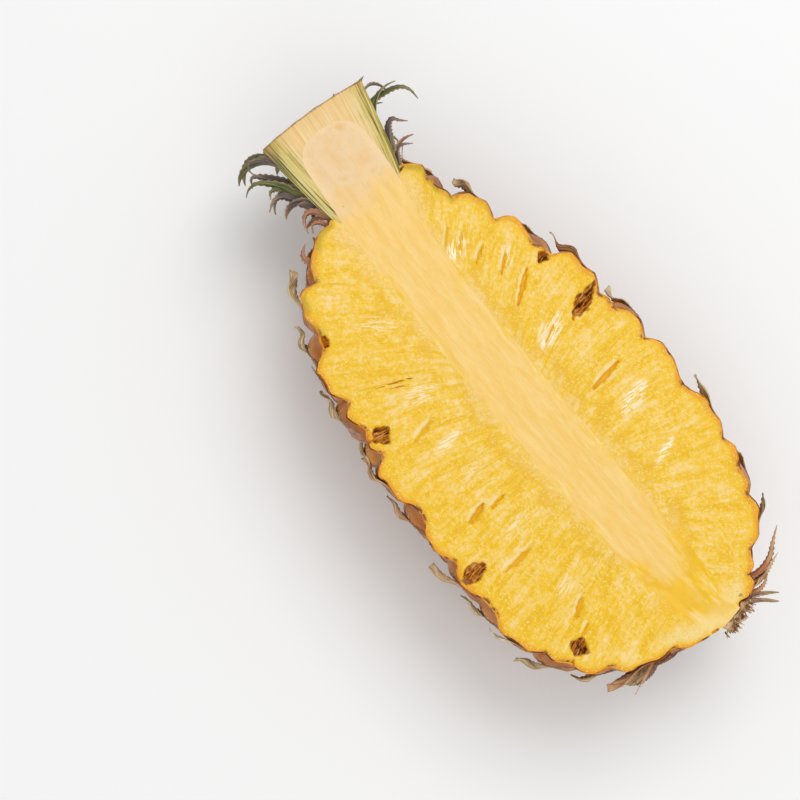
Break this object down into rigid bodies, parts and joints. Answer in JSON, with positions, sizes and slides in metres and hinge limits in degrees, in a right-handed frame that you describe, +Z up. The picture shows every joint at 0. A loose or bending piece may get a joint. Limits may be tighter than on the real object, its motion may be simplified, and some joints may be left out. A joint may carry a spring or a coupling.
{
  "type": "half pineapple",
  "caption": "Ripe pineapple half, split lengthwise through its trimmed crown, lying on its spiny rind with the juicy cut face up.",
  "frame": {"origin": "under the middle of the whole piece, on the surface that it lies on", "axes": "+X along the core towards the crown, +Z up, out of the cut face, +Y across the cut face"},
  "size_m": [0.2424, 0.1158, 0.0506],
  "materials": {
    "rind": "waxy orange-brown eyes with a pinkish disc, dark grooves and straw-coloured dry bract tips",
    "flesh": "wet golden yellow with pale fibres, juice highlights, slits and brown seed pits",
    "core": "moist pale cream-yellow with fine lengthwise fibres, pinkish cream at the heart of the crown",
    "crown_leaf": "waxy grey-green outside with saw-toothed edges, pale yellow-green layers where cut",
    "dry_bract": "dry, papery, grey-brown with fine streaks"
  },
  "bodies": {
    "root": {"rind": "rind", "flesh": "flesh", "core": "core", "crown": "crown_leaf", "stalk": "dry_bract"}
  },
  "joints": []
}
